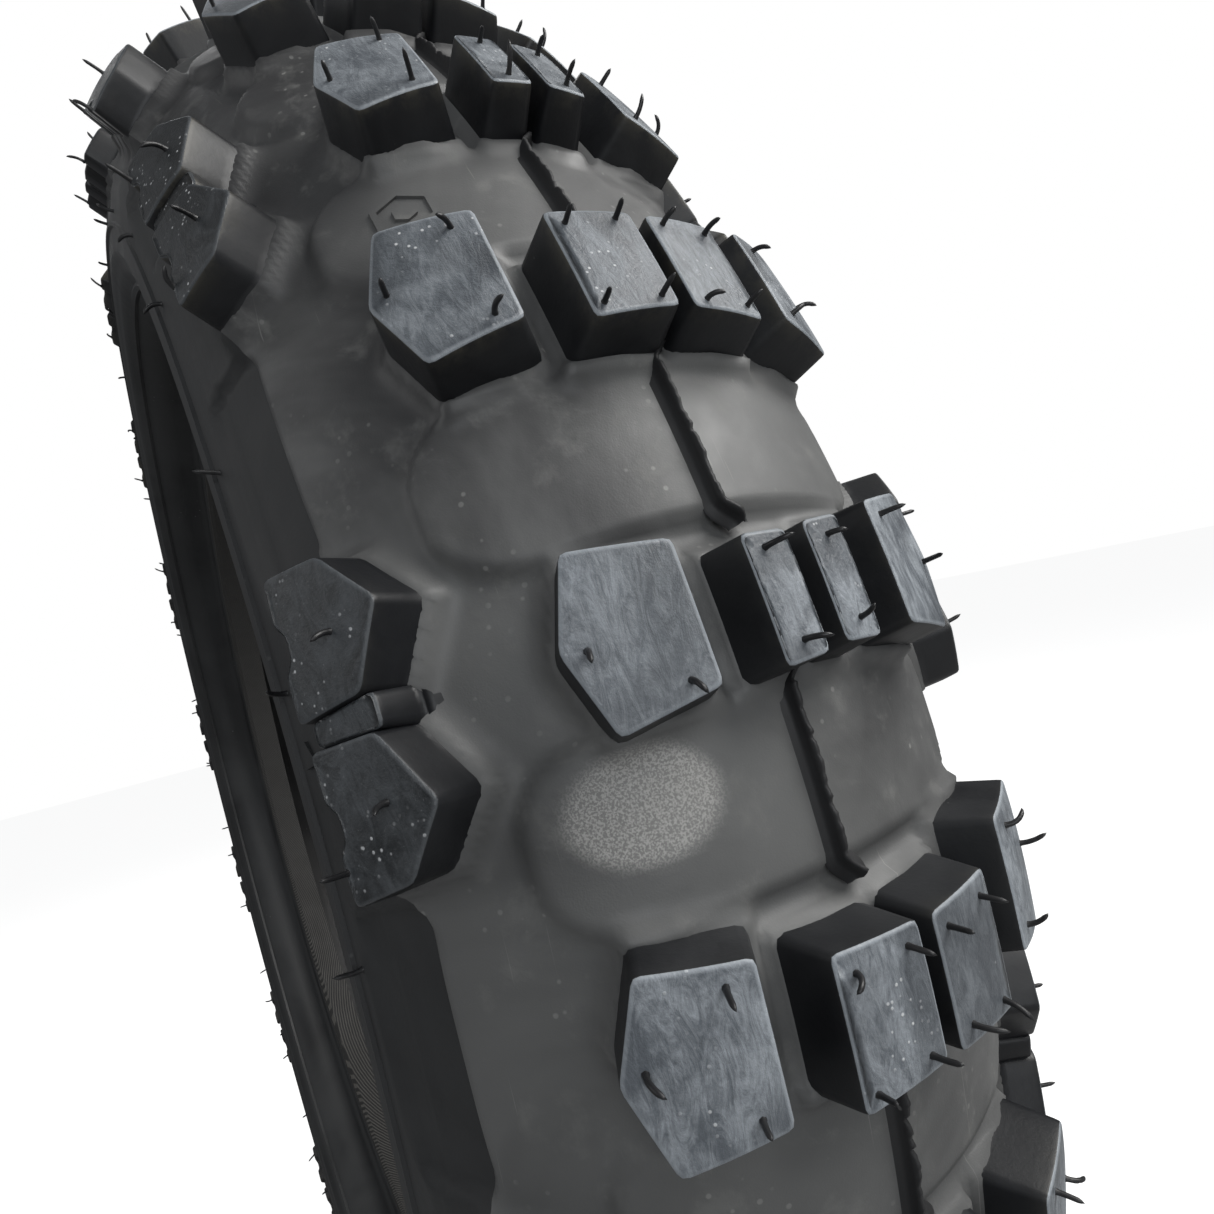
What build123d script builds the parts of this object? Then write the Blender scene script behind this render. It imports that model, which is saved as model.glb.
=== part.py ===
from build123d import *
import os
from math import asin, cos, degrees, radians, sin, tan

os.makedirs("parts", exist_ok=True)

# Off-road motorcycle tyre, 140/80-18 class, moulded shape.
# Frame: origin at the wheel centre, +Y along the axle, +Z up, millimetres.
# The rider's left side is taken as -Y. Rows of knobs are counted round the
# wheel from +X towards +Z; a wide-centred row stands exactly at the bottom.

# ---- driving dimensions ----------------------------------------------------
OUTER_R = 340.0          # radius over the centre knobs
CROWN_R = 84.0           # meridian radius of the knob tops
BASE_R = 75.2            # meridian radius of the rubber between the knobs
KNOB_H = 15.0            # knob height at the crown
TREAD_EDGE = 57.0        # angle on the meridian where tread meets sidewall
SHOULDER_STEP = 20.0     # drop of the arc centre from tread to sidewall
FLANGE_ARC_R = 18.0      # sidewall turn-in above the rim flange
RIM_SEAT_R = 228.6       # bead seat radius, 18 inch rim
RIM_HALF_W = 44.45       # half of the 88.9 mm measuring rim width
TOE_HALF = 28.5          # half distance between the bead toes
CHAFER_T = 2.0

WALL = 9.9               # full carcass and rubber thickness
LINER_T = 1.5
PLY_T = 1.0
BREAKER_T = 1.4

ROW_PAIRS = 16           # wide row + narrow row repeats
PITCH = 360.0 / (2 * ROW_PAIRS)
SIDE_SHIFT = 0.62        # side features lead the centre blocks by this angle
INNER_SHIFT = 0.2        # the same lead for the inner pentagons
DRAFT = 4.0              # knob wall draft, degrees
TIE_DRAFT = 0.5
ABOVE_TOP = 4.0          # raw knobs start this far above the knob top plane
BELOW_TOP = 24.0         # and end this far below it

PAD_H = 2.5              # raised pads between the rows
PAD_HALF_LEN = 17.5
PAD_HALF_W = 49.5
PAD_CORNER = 14.5
FIN_T = 0.8              # parting line fin
FIN_H = 3.0
FIN_JOG = 3.5
FIN_END = 2.0            # the fin runs on past the pad by this much
FIN_RAMP = 2.5
CROWN_SPAN = 50.0        # half angle covered by pads, fin and emblem
POCKET_DEPTH = 2.0       # sunk shoulder pockets
POCKET_LEN = 52.0
POCKET_W = 20.0
POCKET_CORNER = 5.0
POCKET_ANGLE = 64.0
POCKET_REACH = 12.0      # half length of the pocket cutter
TIE_DROP = 1.2           # tie bar top below the shoulder knob tops

BEAD_CORE = 7.0
BEAD_MID = (37.6, 234.8)
FILLER_TIP = [(51.5, 246.6), (50.5, 247.6), (43.5, 247.6)]
RIB_W = 3.0
RIB_H = 1.2
SIDE_RIB_W = 2.0
SIDE_RIB_H = 0.8
MARK_H = 0.8
EMBLEM_H = 0.6
EMBLEM_R = 6.5
EMBLEM_RING = 1.3
EMBLEM_CORE = 2.4
EMBLEM_Y = -33.0
EMBLEM_FROM = 250.0      # radius the emblem prism starts at, and its length
EMBLEM_LEN = 120.0
EMBLEM_ROWS = (2, 18)
MARK_R = 3.2
MARK_ANGLE = 76.0
MARK_STEP = 8            # rows from one wear mark to the next
SIDE_RIB_ANGLE = 84.0
RIM_RIB_ANGLE = 135.0
FAR = 160.0              # reach of the cutting tools past the tyre
PRISM_FROM = 270.0       # radius the pad and fin prisms start at, and their length
PRISM_LEN = 90.0

# ---- centres of the meridian arcs ------------------------------------------
CROWN_C = OUTER_R - CROWN_R
BASE_C = OUTER_R - KNOB_H - BASE_R
EDGE = radians(TREAD_EDGE)
SIDE_Y = SHOULDER_STEP * sin(EDGE)
SIDE_R = BASE_C + SHOULDER_STEP * cos(EDGE)
SIDE_ARC = BASE_R - SHOULDER_STEP
MAX_HALF = SIDE_Y + SIDE_ARC
TURN_Y = MAX_HALF - FLANGE_ARC_R

MERIDIAN = Plane(origin=(0, 0, 0), x_dir=(0, 1, 0), z_dir=(1, 0, 0))


def on_base(radius, angle):
    """Point of the tread arc family, measured from the crown."""
    a = radians(angle)
    return (radius * sin(a), BASE_C + radius * cos(a))


def on_side(radius, angle):
    """Point of the sidewall arc family, same angle convention."""
    a = radians(angle)
    return (SIDE_Y + radius * sin(a), SIDE_R + radius * cos(a))


def on_turn(radius, angle):
    a = radians(angle)
    return (TURN_Y + radius * sin(a), SIDE_R + radius * cos(a))


def half_wires(depth, tail):
    """Right half outline at a depth below the outside, ending in tail points."""
    mid = TREAD_EDGE / 2
    crown = ThreePointArc(
        on_base(BASE_R - depth, 0),
        on_base(BASE_R - depth, mid),
        on_base(BASE_R - depth, TREAD_EDGE),
    )
    side = ThreePointArc(
        on_side(SIDE_ARC - depth, TREAD_EDGE),
        on_side(SIDE_ARC - depth, (TREAD_EDGE + 90) / 2),
        on_side(SIDE_ARC - depth, 90),
    )
    turn = ThreePointArc(
        on_turn(FLANGE_ARC_R - depth, 90),
        on_turn(FLANGE_ARC_R - depth, 135),
        on_turn(FLANGE_ARC_R - depth, 180),
    )
    lower = Polyline([on_turn(FLANGE_ARC_R - depth, 180)] + tail)
    return crown, side, turn, lower


def closed_face(depth, tail):
    """Symmetric face from one half outline and its mirror image."""
    wires = half_wires(depth, tail)
    edges = []
    for w in wires:
        edges.extend(w.edges())
    bottom = Line(tail[-1], (0, tail[-1][1]))
    axis_line = Line((0, tail[-1][1]), on_base(BASE_R - depth, 0))
    half = make_face(edges + bottom.edges() + axis_line.edges())
    return half + mirror(half, Plane.YZ)


def ring(face):
    """Turn a flat meridian face into a full ring about the axle."""
    return revolve(MERIDIAN * face, Axis.Y, 360)


def solids_of(shape):
    return [s for s in shape.solids() if s.volume > 0.5]


def save(name, solids):
    if len(solids) == 1:
        body = solids[0]
    else:
        body = Compound(children=list(solids))
    body.label = name
    export_step(body, f"parts/{name}.step")


# ---- meridian section ------------------------------------------------------
outer_tail = [
    (RIM_HALF_W + 3.0, SIDE_R - FLANGE_ARC_R),
    (RIM_HALF_W + 0.9, SIDE_R - FLANGE_ARC_R - 0.9),
    (RIM_HALF_W, SIDE_R - FLANGE_ARC_R - 3.0),
    (RIM_HALF_W, RIM_SEAT_R + 2.6),
    (RIM_HALF_W - 0.8, RIM_SEAT_R + 0.8),
    (RIM_HALF_W - 2.6, RIM_SEAT_R),
    (TOE_HALF, RIM_SEAT_R),
]
inner_tail = [
    (43.0, SIDE_R - FLANGE_ARC_R + WALL),
    (37.0, 248.0),
    (TOE_HALF, 237.0),
    (TOE_HALF, 205.0),
]
section_solid = closed_face(0.0, outer_tail)
cavity = closed_face(WALL, inner_tail)
layer_1 = offset(cavity, LINER_T)
layer_2 = offset(cavity, LINER_T + PLY_T)
layer_3 = offset(cavity, LINER_T + 2 * PLY_T)
layer_4 = offset(cavity, LINER_T + 2 * PLY_T + BREAKER_T)

crown_wedge = make_face(
    Polyline(
        [
            (0, BASE_C),
            (FAR * sin(EDGE), BASE_C + FAR * cos(EDGE)),
            (0, BASE_C + 2 * FAR),
            (-FAR * sin(EDGE), BASE_C + FAR * cos(EDGE)),
            (0, BASE_C),
        ]
    ).edges()
)
right_half = Pos(100, 250) * Rectangle(200, 200)
left_half = mirror(right_half, Plane.YZ)

chafer_zone = Pos(36.0, RIM_SEAT_R - 1.0 + (CHAFER_T + 1.0) / 2) * Rectangle(20.0, CHAFER_T + 1.0)
above_chafers = section_solid - chafer_zone - mirror(chafer_zone, Plane.YZ)

liner_face = (layer_1 - cavity) & above_chafers
ply_in_face = (layer_2 - layer_1) & above_chafers
ply_out_face = (layer_3 - layer_2) & above_chafers
breaker_face = ((layer_4 - layer_3) & section_solid) & crown_wedge
tread_face = (section_solid - layer_4) & crown_wedge
skin_face = (above_chafers - layer_3) - crown_wedge

core_face = Pos(*BEAD_MID) * Rectangle(BEAD_CORE, BEAD_CORE)
filler_foot = BEAD_MID[1] + BEAD_CORE / 2
filler_face = make_face(
    Polyline(
        [
            (BEAD_MID[0] - 2.6, filler_foot),
            (BEAD_MID[0] + 3.2, filler_foot),
            *FILLER_TIP,
            (BEAD_MID[0] - 2.6, filler_foot),
        ]
    ).edges()
)

sidewall_profiles = {}
for side, half, flip in (("right", right_half, False), ("left", left_half, True)):
    core = mirror(core_face, Plane.YZ) if flip else core_face
    fill = mirror(filler_face, Plane.YZ) if flip else filler_face
    zone = mirror(chafer_zone, Plane.YZ) if flip else chafer_zone
    skin = skin_face & half
    core = core & skin
    fill = fill & skin
    chafer = (zone & section_solid) - cavity
    wall = skin - core - fill
    sidewall_profiles[side] = (wall, core, fill, chafer)

# ---- full rings used as cutters --------------------------------------------
envelope = ring(section_solid)


def crown_disc(radius):
    """Half disc under a meridian arc of the given radius."""
    arc = ThreePointArc((-radius, CROWN_C), (0, CROWN_C + radius), (radius, CROWN_C))
    return make_face(arc.edges() + Line((radius, CROWN_C), (-radius, CROWN_C)).edges())


knob_tops = ring(crown_disc(CROWN_R))
tie_tops = ring(crown_disc(CROWN_R - TIE_DROP))


def crown_shell(inner_h, outer_h):
    """Shell above the tread base between two heights, crown area only."""
    half = CROWN_SPAN
    rim = make_face(
        ThreePointArc(
            on_base(BASE_R + outer_h, -half),
            on_base(BASE_R + outer_h, 0),
            on_base(BASE_R + outer_h, half),
        ).edges()
        + Polyline(
            [
                on_base(BASE_R + outer_h, half),
                on_base(BASE_R + inner_h, half),
            ]
        ).edges()
        + ThreePointArc(
            on_base(BASE_R + inner_h, half),
            on_base(BASE_R + inner_h, 0),
            on_base(BASE_R + inner_h, -half),
        ).edges()
        + Polyline(
            [
                on_base(BASE_R + inner_h, -half),
                on_base(BASE_R + outer_h, -half),
            ]
        ).edges()
    )
    return ring(rim)


# ---- knob shapes: (along the tread, outwards) in the plane of the knob top --
def top_angle(y):
    return degrees(asin(y / CROWN_R))


def block(y_in, y_out, half_in, half_out):
    """Centre block, pulled straight out, between two distances from the middle."""
    pts = [
        (-half_in, y_in),
        (half_in, y_in),
        (half_out, y_out),
        (-half_out, y_out),
    ]
    return 0.0, pts


def pentagon(y_in, y_out, y_tip, half_in, half_out):
    """House-shaped block whose point faces the shoulder."""
    mid = (top_angle(y_in) + top_angle(y_tip)) / 2
    arc = [radians(top_angle(y) - mid) * CROWN_R for y in (y_in, y_out, y_tip)]
    pts = [
        (-half_in, arc[0]),
        (half_in, arc[0]),
        (half_out, arc[1]),
        (0.0, arc[2]),
        (-half_out, arc[1]),
    ]
    return mid, pts


WIDE_CENTRE = block(1.9, 18.8, 11.6, 12.5)
NARROW_CENTRE = block(1.9, 10.8, 10.8, 11.3)
WIDE_SIDE = pentagon(29.5, 45.3, 49.8, 12.8, 15.0)
NARROW_SIDE = pentagon(21.9, 38.0, 42.1, 12.0, 14.6)
SHOULDER_MID = 54.5
SHOULDER_HALF = [
    (2.2, 9.8),
    (10.5, 9.8),
    (12.5, 7.6),
    (17.0, 7.6),
    (19.0, 9.8),
    (27.3, 9.8),
    (26.4, -2.8),
    (16.0, -11.6),
    (3.0, -4.4),
]
TIE_BAR = [(-2.2, 9.0), (2.2, 9.0), (3.0, -5.4), (-3.0, -5.4)]


def knob_plane(mid, sign):
    """Plane on the knob tops at the crown meridian, x along the tread."""
    a = radians(mid)
    return Plane(
        origin=(0, sign * CROWN_R * sin(a), CROWN_C + CROWN_R * cos(a)),
        x_dir=(-1, 0, 0),
        z_dir=(0, sign * sin(a), cos(a)),
    )


def flat(points, sign, grow=0.0):
    """Face of the outline, mirrored for the side it belongs to."""
    pts = [(u, -sign * w) for u, w in points]
    face = make_face(Polyline(pts + [pts[0]]).edges())
    if grow:
        face = offset(face, grow, kind=Kind.INTERSECTION)
    return face


def raw_knob(mid, points, sign, draft=DRAFT):
    """Drafted prism running from above the top surface to below the base."""
    plane = knob_plane(mid, sign)
    top = flat(points, sign, grow=-ABOVE_TOP * tan(radians(draft)))
    root = flat(points, sign, grow=BELOW_TOP * tan(radians(draft)))
    upper = plane * Pos(0, 0, ABOVE_TOP) * top
    lower = plane * Pos(0, 0, -BELOW_TOP) * root
    return loft([lower.face(), upper.face()], ruled=True)


def knob(mid, points, sign):
    return (raw_knob(mid, points, sign) & knob_tops) - envelope


def turn(shape, angle):
    """Move a shape built at the top of the wheel to a row angle."""
    return Rot(0, 90.0 - angle, 0) * shape


def repeat(master, first_row, shift=0.0, step=2):
    """Copies on every second row; row 0 is the wide-centred row at +X."""
    copies = []
    for k in range(first_row, 2 * ROW_PAIRS, step):
        for part in solids_of(master):
            copies.append(turn(part, k * PITCH + shift))
    return copies


masters = {}
for side, sign in (("left", -1), ("right", 1)):
    masters["centre_wide_" + side] = (knob(*WIDE_CENTRE, sign), 0, 0.0)
    masters["centre_narrow_" + side] = (knob(*NARROW_CENTRE, sign), 1, 0.0)
    masters["pentagon_outer_" + side] = (knob(*WIDE_SIDE, sign), 0, SIDE_SHIFT)
    masters["pentagon_inner_" + side] = (knob(*NARROW_SIDE, sign), 1, INNER_SHIFT)
    lead = knob(SHOULDER_MID, SHOULDER_HALF, sign)
    trail = mirror(lead, Plane.YZ)
    both = Compound(children=solids_of(lead) + solids_of(trail))
    masters["shoulder_knobs_" + side] = (both, 1, SIDE_SHIFT)

    bar = (raw_knob(SHOULDER_MID, TIE_BAR, sign, TIE_DRAFT) & tie_tops) - envelope
    for half in solids_of(lead) + solids_of(trail):
        bar = bar - half
    masters["shoulder_tie_bars_" + side] = (bar, 1, SIDE_SHIFT)

for name, (master, first, shift) in masters.items():
    save(name, repeat(master, first, shift))

# ---- raised pads between the rows, with the parting line fin on top ---------
pad_shell = crown_shell(0.0, PAD_H)
fin_shell = crown_shell(PAD_H, PAD_H + FIN_H)
pad_outline = RectangleRounded(2 * PAD_HALF_LEN, 2 * PAD_HALF_W, PAD_CORNER)
pad_prism = extrude(Plane.XY.offset(PRISM_FROM) * pad_outline, PRISM_LEN)

fin_path = [
    (-PAD_HALF_LEN - FIN_END, 0.0),
    (-PAD_HALF_LEN + FIN_RAMP, -FIN_JOG),
    (PAD_HALF_LEN - FIN_RAMP, -FIN_JOG),
    (PAD_HALF_LEN + FIN_END, 0.0),
]
fin_outline = make_face(
    Polyline(
        [(x, y + FIN_T / 2) for x, y in fin_path]
        + [(x, y - FIN_T / 2) for x, y in reversed(fin_path)]
        + [(fin_path[0][0], fin_path[0][1] + FIN_T / 2)]
    ).edges()
)
fin_prism = extrude(Plane.XY.offset(PRISM_FROM) * fin_outline, PRISM_LEN)

pads = []
fins = []
for first in (0, 1):
    middle = (first + 0.5) * PITCH + SIDE_SHIFT
    pad = turn(pad_shell & pad_prism, middle)
    fin = turn(fin_shell & (fin_prism & pad_prism), middle)
    for master, parity, shift in masters.values():
        row = first if parity == first else first + 1
        for part in solids_of(master):
            placed = turn(part, row * PITCH + shift)
            pad = pad - placed
            fin = fin - placed
    for k in range(ROW_PAIRS):
        for part in solids_of(pad):
            pads.append(Rot(0, -2 * PITCH * k, 0) * part)
        for part in solids_of(fin):
            fins.append(Rot(0, -2 * PITCH * k, 0) * part)
save("tread_pads", pads)
save("parting_line_fin", fins)

# ---- tread base and sidewalls with the sunk shoulder pockets ----------------
inner_face = offset(section_solid, -POCKET_DEPTH)
inner_envelope = ring(inner_face)
pocket_outline = RectangleRounded(POCKET_LEN, POCKET_W, POCKET_CORNER)
pocket_cutters = {}
for side, sign in (("left", -1), ("right", 1)):
    a = radians(POCKET_ANGLE)
    plane = Plane(
        origin=(0, sign * BASE_R * sin(a), BASE_C + BASE_R * cos(a)),
        x_dir=(-1, 0, 0),
        z_dir=(0, sign * sin(a), cos(a)),
    )
    prism = extrude(plane * Pos(0, 0, -POCKET_REACH) * pocket_outline, 2 * POCKET_REACH)
    cutter = prism - inner_envelope
    pocket_cutters[side] = repeat(cutter, 0, SIDE_SHIFT)

tread_base = ring(tread_face)
for cutters in pocket_cutters.values():
    tread_base = tread_base - cutters
save("tread_base", solids_of(tread_base))

for side in ("left", "right"):
    wall, core, fill, chafer = sidewall_profiles[side]
    wall_ring = ring(wall) - pocket_cutters[side]
    save("sidewall_" + side, solids_of(wall_ring))
    save("bead_bundle_" + side, solids_of(ring(core)))
    save("bead_filler_" + side, solids_of(ring(fill)))
    save("chafer_" + side, solids_of(ring(chafer)))

save("breaker_ply", solids_of(ring(breaker_face)))
save("carcass_ply_outer", solids_of(ring(ply_out_face)))
save("carcass_ply_inner", solids_of(ring(ply_in_face)))
save("inner_liner", solids_of(ring(liner_face)))

# ---- rim line ribs, sidewall ribs and wear marks ----------------------------
def rib_face(place, radius, angle, width, height, sign):
    """Low ridge profile whose flat foot touches one of the meridian arcs."""
    half = width / 2 / radius
    foot = [place(radius / cos(half), angle + step) for step in (-degrees(half), degrees(half))]
    ridge = [place(radius + height, angle + step) for step in (degrees(half) / 2, -degrees(half) / 2)]
    outline = [(sign * y, r) for y, r in foot + ridge]
    return make_face(Polyline(outline + outline[:1]).edges())


for side, sign in (("left", -1), ("right", 1)):
    rim_rib = rib_face(on_turn, FLANGE_ARC_R, RIM_RIB_ANGLE, RIB_W, RIB_H, sign)
    save("rim_line_rib_" + side, solids_of(ring(rim_rib)))
    side_rib = rib_face(on_side, SIDE_ARC, SIDE_RIB_ANGLE, SIDE_RIB_W, SIDE_RIB_H, sign)
    save("sidewall_rib_" + side, solids_of(ring(side_rib)))

    spot = on_side(SIDE_ARC, MARK_ANGLE)
    a = radians(MARK_ANGLE)
    plane = Plane(
        origin=(0, sign * spot[0], spot[1]),
        x_dir=(-1, 0, 0),
        z_dir=(0, sign * sin(a), cos(a)),
    )
    mark = extrude(plane * RegularPolygon(MARK_R, 3), MARK_H)
    marks = []
    for k in range(0, 2 * ROW_PAIRS, MARK_STEP):
        for part in solids_of(mark):
            marks.append(turn(part, k * PITCH + SIDE_SHIFT + PITCH))
    save("wear_marks_" + side, marks)

# ---- plain hexagon emblem on two of the pads --------------------------------
emblem_shell = crown_shell(PAD_H, PAD_H + EMBLEM_H)
hexagon = RegularPolygon(EMBLEM_R, 6) - RegularPolygon(EMBLEM_R - EMBLEM_RING, 6)
hexagon = hexagon + RegularPolygon(EMBLEM_CORE, 6)
emblem_raw = extrude(Plane.XY.offset(EMBLEM_FROM) * Pos(0, EMBLEM_Y) * hexagon, EMBLEM_LEN)
emblem = emblem_shell & emblem_raw
emblems = []
for k in EMBLEM_ROWS:
    for part in solids_of(emblem):
        emblems.append(turn(part, (k + 0.5) * PITCH + SIDE_SHIFT))
save("emblem", emblems)
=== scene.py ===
import math
import random

import bpy
import numpy as np
from mathutils import Matrix, Vector


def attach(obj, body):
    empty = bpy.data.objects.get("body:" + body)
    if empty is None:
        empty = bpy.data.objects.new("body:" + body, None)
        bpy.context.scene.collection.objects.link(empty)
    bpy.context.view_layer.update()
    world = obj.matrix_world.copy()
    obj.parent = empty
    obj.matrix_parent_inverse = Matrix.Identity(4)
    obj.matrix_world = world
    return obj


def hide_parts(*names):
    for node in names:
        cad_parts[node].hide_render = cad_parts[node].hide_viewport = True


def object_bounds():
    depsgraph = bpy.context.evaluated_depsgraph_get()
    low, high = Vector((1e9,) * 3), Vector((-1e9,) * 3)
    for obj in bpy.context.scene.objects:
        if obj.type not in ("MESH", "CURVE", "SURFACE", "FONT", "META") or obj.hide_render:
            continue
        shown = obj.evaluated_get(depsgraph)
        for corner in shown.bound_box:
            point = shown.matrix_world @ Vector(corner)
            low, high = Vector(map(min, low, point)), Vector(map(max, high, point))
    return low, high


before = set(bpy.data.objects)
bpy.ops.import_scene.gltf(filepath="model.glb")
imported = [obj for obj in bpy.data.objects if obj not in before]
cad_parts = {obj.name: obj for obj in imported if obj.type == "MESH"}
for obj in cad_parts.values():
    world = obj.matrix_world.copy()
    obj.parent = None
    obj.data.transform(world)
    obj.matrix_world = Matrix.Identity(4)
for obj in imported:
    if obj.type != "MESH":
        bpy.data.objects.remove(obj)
cad_low, cad_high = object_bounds()

# Off-road motorcycle tyre. Sizes below are in millimetres and degrees, as in the CAD part;
# MM turns them into metres when a mesh is written. The axle is Y, the left side is -Y, and
# row angles run from +X towards +Z. Row 0 is a wide-centred row, row 1 a narrow-centred one.
MM = 0.001
OUTER_R = round(cad_high.z / MM + 0.2, 0)
CROWN_R = 84.0
BASE_R = 75.2
KNOB_H = 15.0
TREAD_EDGE = math.radians(57.0)
SHOULDER_STEP = 20.0
FLANGE_ARC_R = 18.0
RIM_SEAT_R = 228.6
RIM_HALF_W = 44.45
SKIN = 4.0
ROW_PAIRS = 16
PITCH = 360.0 / (2 * ROW_PAIRS)
SIDE_SHIFT = 0.62
INNER_SHIFT = 0.2
DRAFT = math.tan(math.radians(4.0))
PAD_H = 2.5
PAD_HALF_LEN = 17.5
PAD_HALF_W = 49.5
PAD_CORNER = 14.5
PAD_SLOPE = 2.6
FIN_H = 3.0
FIN_JOG = 3.5
POCKET_DEPTH = 2.0
POCKET_ANGLE = 64.0
POCKET_HALF_LEN = 26.0
POCKET_HALF_W = 10.0
POCKET_CORNER = 5.0
TIE_DROP = 1.2
ROOT_FILLET = 4.5

CROWN_C = OUTER_R - CROWN_R
BASE_C = OUTER_R - KNOB_H - BASE_R
SIDE_Y = SHOULDER_STEP * math.sin(TREAD_EDGE)
SIDE_R = BASE_C + SHOULDER_STEP * math.cos(TREAD_EDGE)
SIDE_ARC = BASE_R - SHOULDER_STEP
TURN_Y = SIDE_Y + SIDE_ARC - FLANGE_ARC_R

SIDES = (("left", -1), ("right", 1))
rng = random.Random(18)


# ---- materials --------------------------------------------------------------
class Nodes:
    """Small helper round one material's node tree."""

    def __init__(self, name):
        self.material = bpy.data.materials.new(name)
        self.material.use_nodes = True
        self.tree = self.material.node_tree
        self.shader = self.tree.nodes["Principled BSDF"]
        coords = self.tree.nodes.new("ShaderNodeTexCoord")
        self.place = coords.outputs["Object"]

    def link(self, output, socket):
        self.tree.links.new(output, socket)

    def scaled(self, scale, turn=(0.0, 0.0, 0.0)):
        node = self.tree.nodes.new("ShaderNodeMapping")
        node.inputs["Scale"].default_value = scale
        node.inputs["Rotation"].default_value = turn
        self.link(self.place, node.inputs["Vector"])
        return node.outputs["Vector"]

    def noise(self, scale, detail=4.0, rough=0.55, distortion=0.0, place=None):
        node = self.tree.nodes.new("ShaderNodeTexNoise")
        node.inputs["Scale"].default_value = scale
        node.inputs["Detail"].default_value = detail
        node.inputs["Roughness"].default_value = rough
        node.inputs["Distortion"].default_value = distortion
        self.link(place or self.place, node.inputs["Vector"])
        return node.outputs["Fac"]

    def spots(self, scale, low, high):
        """Scattered round specks: 1 in a speck, 0 outside."""
        node = self.tree.nodes.new("ShaderNodeTexVoronoi")
        node.inputs["Scale"].default_value = scale
        self.link(self.place, node.inputs["Vector"])
        return self.span(node.outputs["Distance"], low, high, 1.0, 0.0)

    def span(self, value, low, high, out_low=0.0, out_high=1.0):
        node = self.tree.nodes.new("ShaderNodeMapRange")
        node.interpolation_type = "SMOOTHSTEP"
        node.inputs["From Min"].default_value = low
        node.inputs["From Max"].default_value = high
        node.inputs["To Min"].default_value = out_low
        node.inputs["To Max"].default_value = out_high
        self.link(value, node.inputs["Value"])
        return node.outputs["Result"]

    def math(self, kind, a, b):
        node = self.tree.nodes.new("ShaderNodeMath")
        node.operation = kind
        for socket, value in zip(node.inputs, (a, b)):
            if isinstance(value, (int, float)):
                socket.default_value = value
            else:
                self.link(value, socket)
        return node.outputs["Value"]

    def mix(self, factor, a, b):
        node = self.tree.nodes.new("ShaderNodeMix")
        node.data_type = "RGBA"
        self.link(factor, node.inputs["Factor"])
        for socket, value in ((node.inputs["A"], a), (node.inputs["B"], b)):
            if isinstance(value, tuple):
                socket.default_value = (*value, 1.0)
            else:
                self.link(value, socket)
        return node.outputs["Result"]

    def attribute(self, name):
        node = self.tree.nodes.new("ShaderNodeAttribute")
        node.attribute_name = name
        return node.outputs["Fac"]

    def bump(self, height, strength, distance):
        node = self.tree.nodes.new("ShaderNodeBump")
        node.inputs["Strength"].default_value = strength
        node.inputs["Distance"].default_value = distance
        self.link(height, node.inputs["Height"])
        self.link(node.outputs["Normal"], self.shader.inputs["Normal"])

    def finish(self, colour, roughness, specular=0.5):
        self.link(colour, self.shader.inputs["Base Color"])
        self.link(roughness, self.shader.inputs["Roughness"])
        self.shader.inputs["Specular IOR Level"].default_value = specular
        return self.material


def knob_top_rubber(name, dark, light, speck_level):
    """Bloomed contact face: mottled, brushed in swirls, with white specks where worn, and a painted
    highlight along the rounded top edge.
    """
    n = Nodes(name)
    worn = n.attribute("worn")
    mottle = n.noise(60.0, 6.0, 0.62, 1.4)
    cloud = n.noise(24.0, 3.0, 0.55, 0.8)
    brushed = n.noise(11.0, 6.0, 0.72, 2.6, n.scaled((4.0, 30.0, 10.0), (0.4, 0.2, 0.9)))
    grain = n.noise(1600.0, 2.0, 0.6)
    tone = n.math("ADD", n.math("MULTIPLY", mottle, 0.5), n.math("MULTIPLY", brushed, 0.5))
    colour = n.mix(n.span(tone, 0.38, 0.66), dark, light)
    patches = n.math("ADD", n.span(cloud, 0.46, 0.66, 0.0, 0.55), n.math("MULTIPLY", worn, 0.5))
    shade = tuple(0.45 * part for part in dark)
    colour = n.mix(n.math("MINIMUM", patches, 0.9), colour, shade)
    tiny = n.spots(620.0, 0.10, 0.24)
    reach = n.math("ADD", n.noise(60.0, 4.0, 0.65), n.math("MULTIPLY", worn, 0.12))
    specks = n.math("MULTIPLY", tiny, n.span(reach, 0.60 - speck_level, 0.74 - speck_level))
    streaks = n.noise(34.0, 3.0, 0.75, 3.0, n.scaled((7.0, 60.0, 30.0), (0.2, 0.7, 0.3)))
    colour = n.mix(n.span(streaks, 0.62, 0.78, 0.0, 0.4), colour, (0.36, 0.38, 0.39))
    colour = n.mix(n.math("MULTIPLY", specks, 0.85), colour, (0.55, 0.56, 0.57))
    # Painted highlight: the rounded top edge, picked out by the edge mark, is lightened past the
    # lightest bloom tone.
    edge_highlight = tuple(1.15 * part for part in light)
    colour = n.mix(n.math("MULTIPLY", n.attribute("edge"), 0.5), colour, edge_highlight)
    relief_height = n.math("ADD", grain, n.math("MULTIPLY", brushed, 1.5))
    n.bump(n.math("ADD", relief_height, n.math("MULTIPLY", specks, 1.2)), 0.4, 0.0003)
    return n.finish(colour, n.span(mottle, 0.3, 0.7, 0.38, 0.58), 0.45)


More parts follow.
